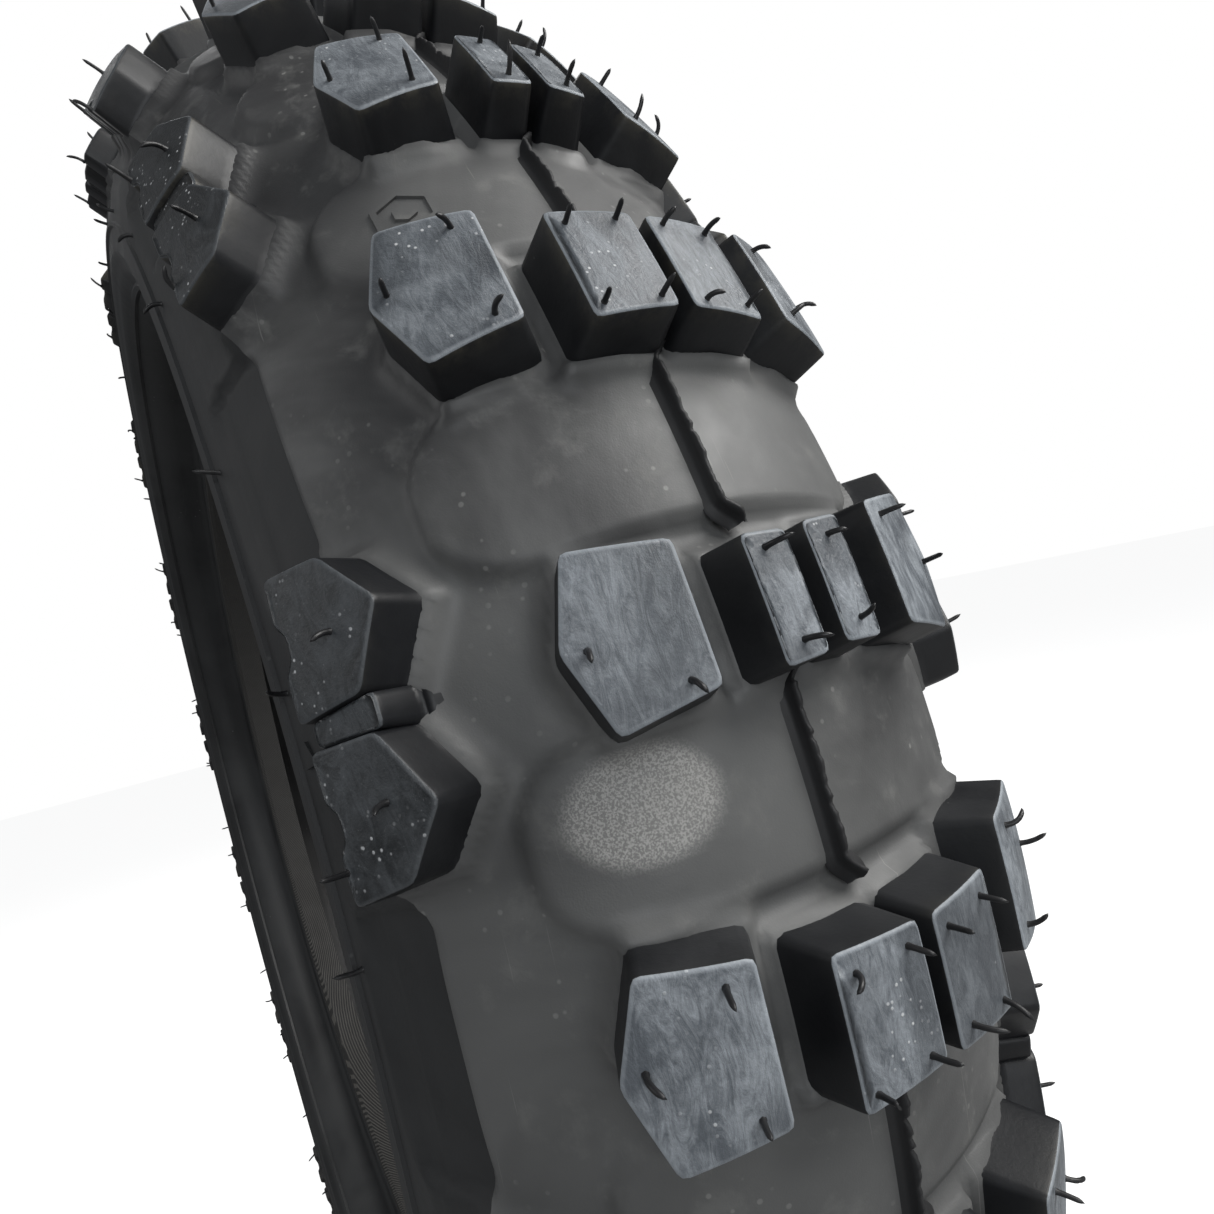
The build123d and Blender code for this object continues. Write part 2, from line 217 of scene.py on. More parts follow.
def knob_wall_rubber():
    """Moulded flank: near black, with a little settled dust near the top edge."""
    n = Nodes("knob_wall")
    cloud = n.noise(26.0, 4.0, 0.6, 0.5)
    grain = n.noise(900.0, 3.0, 0.6)
    colour = n.mix(n.span(cloud, 0.35, 0.7), (0.008, 0.0085, 0.010), (0.020, 0.021, 0.023))
    dusty = n.math("MULTIPLY", n.attribute("edge"), n.attribute("worn"))
    dust = n.math("MULTIPLY", dusty, n.span(n.noise(120.0, 5.0, 0.7), 0.38, 0.6))
    colour = n.mix(n.math("MULTIPLY", dust, 0.5), colour, (0.13, 0.118, 0.085))
    specks = n.math("MULTIPLY", n.spots(420.0, 0.06, 0.14), n.span(n.noise(50.0), 0.6, 0.75))
    colour = n.mix(n.math("MULTIPLY", specks, 0.5), colour, (0.22, 0.22, 0.21))
    n.bump(grain, 0.22, 0.0002)
    return n.finish(colour, n.span(cloud, 0.3, 0.7, 0.40, 0.55), 0.35)


def tread_rubber(name, dark, light):
    """Rubber between the knobs: satin grey with dust specks and fine scratches."""
    n = Nodes(name)
    cloud = n.noise(11.0, 5.0, 0.6, 0.8)
    fine = n.noise(90.0, 5.0, 0.65, 0.3)
    grain = n.noise(2600.0, 2.0, 0.6)
    colour = n.mix(n.span(cloud, 0.32, 0.68), dark, light)
    colour = n.mix(n.span(fine, 0.52, 0.72, 0.0, 0.55), colour, (0.14, 0.14, 0.135))
    granular = n.span(grain, 0.42, 0.60, 0.35, 1.0)
    bloom = n.math("MULTIPLY", n.attribute("bloom"), granular)
    colour = n.mix(n.math("MULTIPLY", bloom, 0.85), colour, (0.36, 0.355, 0.34))
    scratch = n.noise(22.0, 2.0, 0.5, 1.0, n.scaled((1.2, 40.0, 1.2), (0.5, 0.3, 0.8)))
    colour = n.mix(n.span(scratch, 0.72, 0.76, 0.0, 0.5), colour, (0.2, 0.2, 0.19))
    dots = n.math("MULTIPLY", n.spots(300.0, 0.10, 0.19), n.span(n.noise(45.0), 0.52, 0.66))
    colour = n.mix(n.math("MULTIPLY", dots, 0.55), colour, (0.24, 0.24, 0.23))
    n.bump(n.math("ADD", n.math("MULTIPLY", grain, 0.4), fine), 0.25, 0.0003)
    return n.finish(colour, n.span(fine, 0.3, 0.7, 0.44, 0.60), 0.4)


def plain_rubber(name, dark, light, rough=(0.5, 0.7), grain_scale=800.0):
    """Quieter rubber for sidewalls, fin, liner and bead parts."""
    n = Nodes(name)
    cloud = n.noise(17.0, 5.0, 0.6, 0.8)
    grain = n.noise(grain_scale, 3.0, 0.6)
    colour = n.mix(n.span(cloud, 0.3, 0.7), dark, light)
    dots = n.math("MULTIPLY", n.spots(260.0, 0.07, 0.15), n.span(n.noise(30.0), 0.56, 0.7))
    colour = n.mix(n.math("MULTIPLY", dots, 0.4), colour, (0.2, 0.2, 0.2))
    n.bump(grain, 0.25, 0.0002)
    return n.finish(colour, n.span(cloud, 0.3, 0.7, *rough), 0.4)


def cord_material(name, base, thread, pitch):
    """Rubberised cord: fine parallel threads under a thin skin."""
    n = Nodes(name)
    wave = n.tree.nodes.new("ShaderNodeTexWave")
    wave.inputs["Scale"].default_value = pitch
    wave.inputs["Distortion"].default_value = 0.6
    n.link(n.scaled((1.0, 1.0, 1.0), (0.0, 0.8, 0.5)), wave.inputs["Vector"])
    colour = n.mix(n.span(wave.outputs["Fac"], 0.3, 0.8), base, thread)
    n.bump(wave.outputs["Fac"], 0.4, 0.0004)
    return n.finish(colour, n.span(n.noise(60.0), 0.3, 0.7, 0.55, 0.75), 0.3)


def wire_material():
    """Bead wire under brassy plating."""
    n = Nodes("bead_wire")
    tone = n.noise(220.0, 3.0, 0.6)
    colour = n.mix(n.span(tone, 0.3, 0.7), (0.20, 0.13, 0.06), (0.42, 0.30, 0.15))
    n.shader.inputs["Metallic"].default_value = 1.0
    n.bump(n.noise(700.0), 0.3, 0.0002)
    return n.finish(colour, n.span(tone, 0.3, 0.7, 0.3, 0.5), 0.5)


TOP_LIGHT = knob_top_rubber("knob_top_bloomed", (0.085, 0.096, 0.110), (0.29, 0.315, 0.34), 0.03)
TOP_DARK = knob_top_rubber("knob_top_dark", (0.014, 0.016, 0.018), (0.060, 0.066, 0.072), 0.10)
KNOB_WALL = knob_wall_rubber()
TREAD = tread_rubber("tread_rubber", (0.034, 0.034, 0.035), (0.105, 0.106, 0.105))
SIDEWALL = plain_rubber("sidewall_rubber", (0.010, 0.0105, 0.0115), (0.026, 0.027, 0.028))
FIN = plain_rubber("fin_rubber", (0.010, 0.010, 0.011), (0.020, 0.020, 0.021))
HAIR = plain_rubber("vent_hair_rubber", (0.008, 0.008, 0.009), (0.018, 0.018, 0.019), (0.35, 0.5))
LINER = plain_rubber("liner_rubber", (0.010, 0.010, 0.011), (0.022, 0.022, 0.023), (0.35, 0.55))
BEAD = plain_rubber("bead_rubber", (0.010, 0.010, 0.010), (0.024, 0.024, 0.025), (0.5, 0.7), 500.0)
CORD = cord_material("cord_fabric", (0.05, 0.035, 0.025), (0.30, 0.22, 0.14), 320.0)
CHAFER = cord_material("chafer_fabric", (0.012, 0.012, 0.012), (0.05, 0.048, 0.045), 420.0)
WIRE = wire_material()


# ---- mesh writing -----------------------------------------------------------
class Shell:
    """Collects rings of points and writes them as one mesh object."""

    def __init__(self):
        self.points = []
        self.faces = []
        self.finish = []
        self.marks = {}
        self.count = 0

    def add_points(self, points, **marks):
        start = self.count
        flat = np.asarray(points, dtype=float).reshape(-1, 3)
        self.points.append(flat)
        self.count += len(flat)
        for name in set(self.marks) | set(marks):
            kept = self.marks.setdefault(name, [np.zeros(start)] if start else [])
            given = marks.get(name)
            kept.append(np.zeros(len(flat)) if given is None else np.asarray(given).ravel())
        return start

    def add_faces(self, faces, finish):
        faces = np.asarray(faces, dtype=np.int64)
        self.faces.append(faces)
        if np.ndim(finish) == 0:
            finish = np.full(len(faces), finish)
        self.finish.append(np.asarray(finish, dtype=np.int64))

    def lattice(self, points, finish, around=True, flip=False, **marks):
        """points is (rings, columns, 3); neighbouring rings are joined by quads."""
        rings, columns = points.shape[:2]
        start = self.add_points(points, **marks)
        last = columns if around else columns - 1
        r, c = np.meshgrid(np.arange(rings - 1), np.arange(last), indexing="ij")
        a = r * columns + c
        b = r * columns + (c + 1) % columns
        quads = np.stack([a, b, b + columns, a + columns], -1).reshape(-1, 4) + start
        if flip:
            quads = quads[:, ::-1]
        if np.ndim(finish) == 1:
            finish = np.repeat(finish, last)
        self.add_faces(quads, finish)
        return start

    def fan(self, ring_start, columns, centre, finish, flip=False, **marks):
        tip = self.add_points([centre], **marks)
        c = np.arange(columns)
        tris = np.stack([ring_start + c, np.full(columns, tip), ring_start + (c + 1) % columns], -1)
        if flip:
            tris = tris[:, ::-1]
        self.add_faces(tris, finish)

    def write(self, name, materials, slot, replaced=()):
        mesh = bpy.data.meshes.new(name)
        points = np.concatenate(self.points) * MM
        sizes = np.concatenate([np.full(len(f), f.shape[1]) for f in self.faces])
        corners = np.concatenate([f.ravel() for f in self.faces])
        mesh.vertices.add(len(points))
        mesh.vertices.foreach_set("co", points.ravel())
        mesh.loops.add(len(corners))
        mesh.loops.foreach_set("vertex_index", corners.astype(np.int32))
        mesh.polygons.add(len(sizes))
        starts = np.concatenate([[0], np.cumsum(sizes)[:-1]])
        mesh.polygons.foreach_set("loop_start", starts.astype(np.int32))
        mesh.update(calc_edges=True)
        for material in materials:
            mesh.materials.append(material)
        mesh.polygons.foreach_set("material_index", np.concatenate(self.finish).astype(np.int32))
        mesh.polygons.foreach_set("use_smooth", np.ones(len(sizes), dtype=bool))
        for mark, values in self.marks.items():
            layer = mesh.attributes.new(mark, "FLOAT", "POINT")
            layer.data.foreach_set("value", np.concatenate(values).astype(np.float32))
        mesh.validate()
        piece = bpy.data.objects.new(name, mesh)
        bpy.context.scene.collection.objects.link(piece)
        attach(piece, "root")
        if replaced:
            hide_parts(*replaced)


# ---- surfaces ---------------------------------------------------------------
def above_tops(points, radius=CROWN_R):
    rho = np.hypot(points[..., 0], points[..., 2])
    return np.hypot(rho - CROWN_C, points[..., 1]) - radius


def above_base(points):
    rho = np.hypot(points[..., 0], points[..., 2])
    y = np.abs(points[..., 1])
    crown = np.hypot(rho - BASE_C, y) - BASE_R
    side = np.hypot(rho - SIDE_R, y - SIDE_Y) - SIDE_ARC
    return np.where(np.arctan2(y, rho - BASE_C) < TREAD_EDGE, crown, side)


SETTLE_STEPS = 14


def settle(points, normal, height):
    """Slide points along the pull direction until height() is zero."""
    moved = np.array(points, dtype=float)
    for _ in range(SETTLE_STEPS):
        moved -= height(moved)[..., None] * normal
    return moved


def turned(points, angle):
    """Move points made at the top of the wheel to a row angle."""
    a = math.radians(90.0 - angle)
    c, s = math.cos(a), math.sin(a)
    x, y, z = points[..., 0], points[..., 1], points[..., 2]
    return np.stack([c * x + s * z, y, c * z - s * x], -1)


class KnobPlane:
    """Plane touching the knob tops at a meridian angle, at the top of the wheel."""

    def __init__(self, mid, sign, radius=CROWN_R, centre=CROWN_C):
        a = math.radians(mid)
        self.sign = sign
        self.normal = np.array([0.0, sign * math.sin(a), math.cos(a)])
        self.out = np.array([0.0, sign * math.cos(a), -math.sin(a)])
        self.along = np.array([-1.0, 0.0, 0.0])
        self.origin = np.array([0.0, 0.0, centre]) + radius * self.normal

    def point(self, uw):
        return self.origin + uw[..., :1] * self.along + uw[..., 1:2] * self.out

    def flat(self, points):
        away = points - self.origin
        return np.stack([away @ self.along, away @ self.out], -1)


# ---- knob outlines: (along the tread, outwards) -----------------------------
def top_angle(y):
    return math.degrees(math.asin(y / CROWN_R))


def block(y_in, y_out, half_in, half_out):
    return 0.0, [(-half_in, y_in), (half_in, y_in), (half_out, y_out), (-half_out, y_out)]


def pentagon(y_in, y_out, y_tip, half_in, half_out):
    mid = (top_angle(y_in) + top_angle(y_tip)) / 2
    w_in, w_out, w_tip = [
        math.radians(top_angle(y) - mid) * CROWN_R for y in (y_in, y_out, y_tip)
    ]
    outline = [(-half_in, w_in), (half_in, w_in), (half_out, w_out), (0.0, w_tip), (-half_out, w_out)]
    return mid, outline


SHOULDER_MID = 54.5
SHOULDER_HALF = [
    (2.2, 9.8), (10.5, 9.8), (12.5, 7.6), (17.0, 7.6), (19.0, 9.8),
    (27.3, 9.8), (26.4, -2.8), (16.0, -11.6), (3.0, -4.4),
]
TIE_BAR = [(-2.2, 9.0), (2.2, 9.0), (3.0, -5.4), (-3.0, -5.4)]


def mirrored(outline):
    return [(-u, w) for u, w in reversed(outline)]


# node name: outline, first row, shift, and hair places from the middle of the outline
KNOBS = {
    "centre_wide": (block(1.9, 18.8, 11.6, 12.5), 0, 0.0,
                    [(9.0, -5.2), (-9.0, -5.0), (8.6, 5.4), (-9.4, 5.8)]),
    "centre_narrow": (block(1.9, 10.8, 10.8, 11.3), 1, 0.0, [(7.6, 0.4), (-8.0, 0.2)]),
    "pentagon_outer": (pentagon(29.5, 45.3, 49.8, 12.8, 15.0), 0, SIDE_SHIFT,
                       [(9.6, -6.4), (-10.0, -6.8), (0.6, 7.0)]),
    "pentagon_inner": (pentagon(21.9, 38.0, 42.1, 12.0, 14.6), 1, INNER_SHIFT,
                       [(9.0, -6.6), (-9.4, -6.8), (-0.8, 6.8)]),
    "shoulder_knobs": ((SHOULDER_MID, SHOULDER_HALF), 1, SIDE_SHIFT,
                       [(-1.0, -6.4), (6.4, 5.4)]),
}


def rounded(outline, radius, step):
    """Outline with rounded corners and evenly split edges, with outward mitres."""
    corners = np.array(outline, dtype=float)
    if polygon_area(corners) < 0:
        corners = corners[::-1]
    dense = []
    count = len(corners)
    for i in range(count):
        here, before, after = corners[i], corners[i - 1], corners[(i + 1) % count]
        back = (before - here) / np.linalg.norm(before - here)
        ahead = (after - here) / np.linalg.norm(after - here)
        for t in (0.0, 0.5, 1.0):
            first = here + back * radius * (1 - t)
            second = here + ahead * radius * t
            dense.append(first * (1 - t) + second * t)
        run = np.linalg.norm(after - here) - 2 * radius
        pieces = max(1, int(round(run / step)))
        for j in range(1, pieces):
            dense.append(here + ahead * (radius + run * j / pieces))
    dense = np.array(dense)
    ahead = np.roll(dense, -1, 0) - dense
    ahead /= np.linalg.norm(ahead, axis=1, keepdims=True)
    behind = np.roll(ahead, 1, 0)
    normal = np.stack([ahead[:, 1] + behind[:, 1], -ahead[:, 0] - behind[:, 0]], -1)
    normal /= np.linalg.norm(normal, axis=1, keepdims=True)
    edge = np.stack([ahead[:, 1], -ahead[:, 0]], -1)
    mitre = 1.0 / np.clip((normal * edge).sum(1), 0.6, 1.0)
    return dense, normal * mitre[:, None]


def polygon_area(points):
    x, y = points[:, 0], points[:, 1]
    return 0.5 * float((x * np.roll(y, -1) - np.roll(x, -1) * y).sum())


def polygon_distance(points, outline):
    """Signed distance to an outline in its plane, negative inside."""
    corners = np.array(outline, dtype=float)
    best = np.full(points.shape[:-1], 1e9)
    inside = np.zeros(points.shape[:-1], dtype=bool)
    for a, b in zip(corners, np.roll(corners, -1, 0)):
        edge = b - a
        away = points - a
        t = np.clip((away @ edge) / (edge @ edge), 0.0, 1.0)
        best = np.minimum(best, np.linalg.norm(away - t[..., None] * edge, axis=-1))
        crosses = (a[1] > points[..., 1]) != (b[1] > points[..., 1])
        rise = b[1] - a[1] if abs(b[1] - a[1]) > 1e-9 else 1e-9
        x_cross = a[0] + (points[..., 1] - a[1]) / rise * edge[0]
        inside ^= crosses & (points[..., 0] < x_cross)
    return np.where(inside, -best, best)


# ---- knobs ------------------------------------------------------------------
EDGE_ROUND = 0.6
CORNER_ROUND = 1.3
OUTLINE_STEP = 3.2
TOP_SHARE = 0.93
WALL_STEPS = (0.10, 0.3, 0.6, 0.85)
FOOT_FLARE = 2.2
INSETS = (0.25, 0.5, 0.75)


def knob_rings(mid, outline, sign, lean, radius=CROWN_R):
    """Rings of one knob from the middle of its top down into the base."""
    plane = KnobPlane(mid, sign)
    dense, mitre = rounded(outline, CORNER_ROUND, OUTLINE_STEP)
    centre = dense.mean(0)
    rings, edge = [], []

    def tops(points):
        return above_tops(points, radius)

    def ring(uw, depth, from_base=None, mark=0.0):
        top = settle(plane.point(uw), plane.normal, tops)
        if from_base is not None:
            base = settle(plane.point(uw), plane.normal, above_base)
            points = base + from_base * plane.normal
        else:
            points = top - depth * plane.normal
        fade = 1.0 - min(1.0, (depth if from_base is None else KNOB_H - from_base) / KNOB_H)
        rings.append(points + fade * lean)
        edge.append(np.full(len(uw), mark))

    for share in (*INSETS, TOP_SHARE):
        ring(centre + (dense - centre) * share, 0.0)
    # The edge mark peaks on the rounded top edge: the top material turns it into a painted highlight,
    # the wall material into settled dust near the top.
    for turn_by, mark in ((0, 0.5), (35, 1.0), (65, 1.0), (90, 0.8)):
        a = math.radians(turn_by)
        drop = EDGE_ROUND * (1 - math.cos(a))
        ring(dense - EDGE_ROUND * (1 - math.sin(a)) * mitre, drop, mark=mark)
    for share in WALL_STEPS:
        depth = share * (KNOB_H - FOOT_FLARE)
        mark = 0.6 * max(0.0, 1 - share * 3)
        ring(dense + DRAFT * depth * mitre, max(depth, EDGE_ROUND * 1.5), mark=mark)
    grown = DRAFT * (KNOB_H - FOOT_FLARE)
    for turn_by in (0, 45, 90):
        a = math.radians(turn_by)
        out = grown + FOOT_FLARE * (1 - math.cos(a))
        ring(dense + out * mitre, KNOB_H, from_base=FOOT_FLARE * (1 - math.sin(a)))
    ring(dense + (grown + FOOT_FLARE + 0.6) * mitre, KNOB_H, from_base=-1.2)
    rings, edge = np.array(rings), np.array(edge)
    middle = settle(plane.point(centre[None]), plane.normal, tops)[0] + lean
    return rings, edge, middle, plane


WORN_ROWS = {0: 0.1, 1: 0.12, 2: 0.75, 3: 0.7, 4: 0.6}
TOP_BANDS = len(INSETS) + 1
HAIR_ROOTS = []


def row_wear(row):
    """How scuffed the knobs of a row are, from 0 to 1."""
    return WORN_ROWS.get(row, 0.5 + 0.45 * math.sin(row * 2.4))


def add_knob(shell, mid, outline, sign, angle, hairs=(), radius=CROWN_R, sway=0.45):
    lean = np.array([rng.uniform(-sway, sway), rng.uniform(-sway, sway), 0.0])
    rings, edge, middle, plane = knob_rings(mid, outline, sign, lean, radius)
    rings = turned(rings, angle)
    bands = len(rings) - 1
    finish = np.where(np.arange(bands) < TOP_BANDS + 2, 0, 1)
    flip = sign > 0
    wear = min(1.0, max(0.0, row_wear(int(angle / PITCH)) + rng.uniform(-0.15, 0.15)))
    worn = np.full(edge.shape, wear)
    start = shell.lattice(rings, finish, flip=flip, edge=edge, worn=worn)
    shell.fan(start, rings.shape[1], turned(middle, angle), 0, flip=flip, edge=[0.0], worn=[wear])
    centre = np.array(outline).mean(0)
    for u, w in hairs:
        spot = centre + np.array([u + rng.uniform(-0.8, 0.8), w + rng.uniform(-0.6, 0.6)])
        root = settle(plane.point(spot[None]), plane.normal, lambda p: above_tops(p, radius))[0]
        HAIR_ROOTS.append((turned(root + lean, angle), turned(plane.normal, angle)))


def knob_outlines(name):
    """The outlines that make one knob of this kind: one block, or a shoulder pair."""
    (mid, outline), first, shift, hairs = KNOBS[name]
    if name == "shoulder_knobs":
        return mid, (outline, mirrored(outline)), first, shift, hairs
    return mid, (outline,), first, shift, hairs


def make_knobs():
    for name in KNOBS:
        mid, outlines, first, shift, hairs = knob_outlines(name)
        for side, sign in SIDES:
            shell = Shell()
            for row in range(first, 2 * ROW_PAIRS, 2):
                for which, outline in enumerate(outlines):
                    spots = [(-u, w) for u, w in hairs] if which else hairs
                    add_knob(shell, mid, outline, sign, row * PITCH + shift, spots)
            node = f"{name}_{side}"
            top = TOP_DARK if name == "shoulder_knobs" else TOP_LIGHT
            shell.write(node + "_moulded", [top, KNOB_WALL], "knob_rubber", [node])
    for side, sign in SIDES:
        shell = Shell()
        for row in range(1, 2 * ROW_PAIRS, 2):
            angle = row * PITCH + SIDE_SHIFT
            add_knob(shell, SHOULDER_MID, TIE_BAR, sign, angle, (), CROWN_R - TIE_DROP, 0.1)
        node = f"shoulder_tie_bars_{side}"
        shell.write(node + "_moulded", [TOP_DARK, KNOB_WALL], "knob_rubber", [node])


# ---- rubber between the knobs as a fine relief --------------------------------
COLUMNS = 88 * ROW_PAIRS
CROWN_ROWS = 120
SIDE_ROWS = 18
TURN_ROWS = 14


def rounded_box(x, y, half_x, half_y, corner):
    """Signed distance to a rounded rectangle, negative inside."""
    qx = np.abs(x) - half_x + corner
    qy = np.abs(y) - half_y + corner
    outside = np.hypot(np.maximum(qx, 0), np.maximum(qy, 0))
    return outside + np.minimum(np.maximum(qx, qy), 0) - corner


def smooth(t):
    t = np.clip(t, 0.0, 1.0)
    return t * t * (3 - 2 * t)


def pad_relief(points):
    """Height of the raised pads: a soft foot, a flat slope and a crisp top edge."""
    height = np.zeros(points.shape[:-1])
    rho = np.hypot(points[..., 0], points[..., 2])
    phi = np.degrees(np.arctan2(points[..., 2], points[..., 0]))
    for gap in range(-1, 3):
        middle = (gap + 0.5) * PITCH + SIDE_SHIFT
        x = rho * np.sin(np.radians(phi - middle))
        depth = -rounded_box(x, points[..., 1], PAD_HALF_LEN, PAD_HALF_W, PAD_CORNER)
        t = depth / PAD_SLOPE
        slope = np.where(t < 0.35, 0.35 * smooth(t / 0.7) * 2, t)
        height = np.maximum(height, PAD_H * np.clip(slope, 0.0, 1.0))
    return height


def pocket_relief(points):
    """Sunk shoulder pockets on the wide-centred rows."""
    depth = np.zeros(points.shape[:-1])
    for _, sign in SIDES:
        plane = KnobPlane(POCKET_ANGLE, sign, BASE_R, BASE_C)
        for row in (0, 2):
            local = plane.flat(turned(points, 180.0 - row * PITCH - SIDE_SHIFT))
            near = np.abs(points[..., 1] - plane.origin[1]) < 40
            box = (POCKET_HALF_LEN, POCKET_HALF_W, POCKET_CORNER)
            inside = -rounded_box(local[..., 0], local[..., 1], *box)
            sunk = POCKET_DEPTH * smooth(inside / 1.8 + 0.3)
            depth = np.where(near, np.maximum(depth, sunk), depth)
    return -depth


def root_relief(points):
    """Fillets where the knobs rise out of the base."""
    rise = np.zeros(points.shape[:-1])
    for name in KNOBS:
        mid, outlines, first, shift, _ = knob_outlines(name)
        for _, sign in SIDES:
            plane = KnobPlane(mid, sign)
            for row in range(first - 2, first + 3, 2):
                local_points = turned(points, 180.0 - row * PITCH - shift)
                local = plane.flat(local_points)
                near = (local_points[..., 2] > 0) & (np.abs(local[..., 0]) < 45)
                for outline in outlines:
                    gap = polygon_distance(local, outline) - DRAFT * KNOB_H
                    closeness = np.clip(1 - gap / ROOT_FILLET, 0.0, 1.0)
                    lift = ROOT_FILLET * (1 - np.sqrt(1 - (0.985 * closeness) ** 2))
                    rise = np.where(near, np.maximum(rise, lift), rise)
    return rise


def relief(points):
    """All raised and sunk detail of the rubber between the knobs."""
    return pad_relief(points) + root_relief(points) + pocket_relief(points)


# row angle, place across the tread, half length and half width of each patch
BLOOM_PATCHES = (
    (6.9, -32.0, 9.5, 12.0),
    (106.5, 30.0, 8.0, 11.0),
    (230.0, -28.0, 9.0, 10.0),
)


def bloom_marks(points):
    """Oval matt patches left by the mould on a few pads."""
    rho = np.hypot(points[..., 0], points[..., 2])
    phi = np.degrees(np.arctan2(points[..., 2], points[..., 0]))
    marks = np.zeros(points.shape[:-1])
    for angle, y, half_x, half_y in BLOOM_PATCHES:
        x = rho * np.sin(np.radians(phi - angle))
        near = np.cos(np.radians(phi - angle)) > 0.9
        reach = np.hypot(x / half_x, (points[..., 1] - y) / half_y)
        marks = np.where(near, np.maximum(marks, smooth((1.12 - reach) / 0.3)), marks)
    return marks


def swept(profile, normals):
    """(rows, one period of columns, 3) points and normals of a ring surface."""
    phi = np.radians(np.arange(COLUMNS // ROW_PAIRS) * 360.0 / COLUMNS)
    y, rho = profile[:, 0, None], profile[:, 1, None]
    ny, nr = normals[:, 0, None], normals[:, 1, None]
    ones = np.ones_like(phi)
    points = np.stack([rho * np.cos(phi), y * ones, rho * np.sin(phi)], -1)
    outward = np.stack([nr * np.cos(phi), ny * ones, nr * np.sin(phi)], -1)
    return points, outward


def all_round(period):
    """Repeat one period of columns round the wheel."""
    copies = [turned(period, 90.0 + 2 * PITCH * k) for k in range(ROW_PAIRS)]
    return np.concatenate(copies, axis=1)


def crown_profile(low, high, rows, depth=0.0):
    a = np.linspace(low, high, rows)
    normals = np.stack([np.sin(a), np.cos(a)], -1)
    return np.array([0.0, BASE_C]) + (BASE_R - depth) * normals, normals


def side_profile(sign, depth=0.0):
    """Sidewall outline from the tread edge down to the bead seat."""
    side = np.linspace(TREAD_EDGE, math.pi / 2, SIDE_ROWS)
    side_n = np.stack([np.sin(side), np.cos(side)], -1)
    upper = np.array([SIDE_Y, SIDE_R]) + (SIDE_ARC - depth) * side_n
    turn_a = np.linspace(math.pi / 2, math.pi, TURN_ROWS)[1:]
    turn_n = np.stack([np.sin(turn_a), np.cos(turn_a)], -1)
    lower = np.array([TURN_Y, SIDE_R]) + (FLANGE_ARC_R - depth) * turn_n
    points = np.concatenate([upper, lower])
    normals = np.concatenate([side_n, turn_n])
    points[:, 0] *= sign
    normals[:, 0] *= sign
    return points, normals


def make_tread_base():
    profile, normals = crown_profile(-TREAD_EDGE, TREAD_EDGE, CROWN_ROWS)
    points, outward = swept(profile, normals)
    outer = all_round(points + relief(points)[..., None] * outward)
    under, _ = crown_profile(TREAD_EDGE, -TREAD_EDGE, 14, SKIN)
    under_points = all_round(swept(under, np.zeros_like(under))[0])
    ring = np.concatenate([outer, under_points, outer[:1]])
    plain = np.zeros(under_points.shape[:2])
    bloom = np.concatenate([bloom_marks(outer), plain, bloom_marks(outer[:1])])
    shell = Shell()
    shell.lattice(ring, 0, flip=True, bloom=bloom)
    shell.write("tread_base_moulded", [TREAD], "tread_rubber", ["tread_base", "tread_pads"])


# meridian angle, half width and height of each moulded step
SIDEWALL_STEPS = ((69.0, 1.2, 0.5), (73.5, 1.2, 0.5), (97.0, 3.0, 0.6), (118.0, 4.0, 0.5))


def sidewall_relief(points, profile_angle):
    """Shallow decorative steps and ribs round the sidewall."""
    steps = np.zeros(points.shape[:-1])
    for angle, width, height in SIDEWALL_STEPS:
        away = np.abs(profile_angle - angle) / width
        steps += height * smooth(1.4 - away)[:, None]
    return steps


def make_sidewalls():
    for side, sign in SIDES:
        profile, normals = side_profile(sign)
        angles = np.degrees(np.arctan2(np.abs(normals[:, 0]), normals[:, 1]))
        points, outward = swept(profile, normals)
        height = relief(points) * (angles < 89.0)[:, None] + sidewall_relief(points, angles)
        height[0] = relief(points[:1])[0]
        outer = points + height[..., None] * outward
        seat = RIM_SEAT_R + 2.0
        foot = SIDE_R - FLANGE_ARC_R
        heel = [
            (RIM_HALF_W + 3.0, foot), (RIM_HALF_W + 0.9, foot - 0.9),
            (RIM_HALF_W, foot - 3.0), (RIM_HALF_W, seat), (41.5, seat),
            (41.5, 240.0), (46.0, foot + SKIN),
        ]
        tail = np.array([(sign * y, r) for y, r in heel])
        inner, _ = side_profile(sign, SKIN)
        back = np.concatenate([tail, inner[::-4]])
        back_points = swept(back, np.zeros_like(back))[0]
        period = np.concatenate([outer, back_points, outer[:1]])
        shell = Shell()
        shell.lattice(all_round(period), 0, flip=sign > 0)
        node = f"sidewall_{side}"
        shell.write(node + "_moulded", [SIDEWALL], "sidewall_rubber", [node])


# ---- parting line fin ---------------------------------------------------------
FIN_STEPS = 72
FIN_HALF = PAD_HALF_LEN + 2.2
FIN_SECTION = [
    (-2.6, -0.5), (-2.2, 0.0), (-1.1, 0.22), (-0.62, 0.8), (-0.45, 2.0), (-0.34, 1.0),
    (0.34, 1.0), (0.45, 2.0), (0.62, 0.8), (1.1, 0.22), (2.2, 0.0), (2.6, -0.5),
]
FIN_TOPS = (5, 6)        # points of the section that follow the ragged edge


def fin_line(x):
    """Sideways offset of the fin along the tread: the jog with soft corners."""
    away = np.abs(x)
    return -FIN_JOG * smooth((FIN_HALF - away) / 5.0)


def ragged(count, grit):
    """Wavy top edge with a few nicks."""
    wave = np.zeros(count)
    for length, size in ((23, 0.22), (11, 0.16), (5, 0.12), (3, 0.08)):
        phase = grit.uniform(0, 2 * math.pi)
        wave += size * np.sin(np.arange(count) * 2 * math.pi / length + phase)
    for _ in range(grit.randint(2, 5)):
        at = grit.randrange(4, count - 4)
        wave[at:at + 2] -= grit.uniform(0.3, 0.8)
    return wave


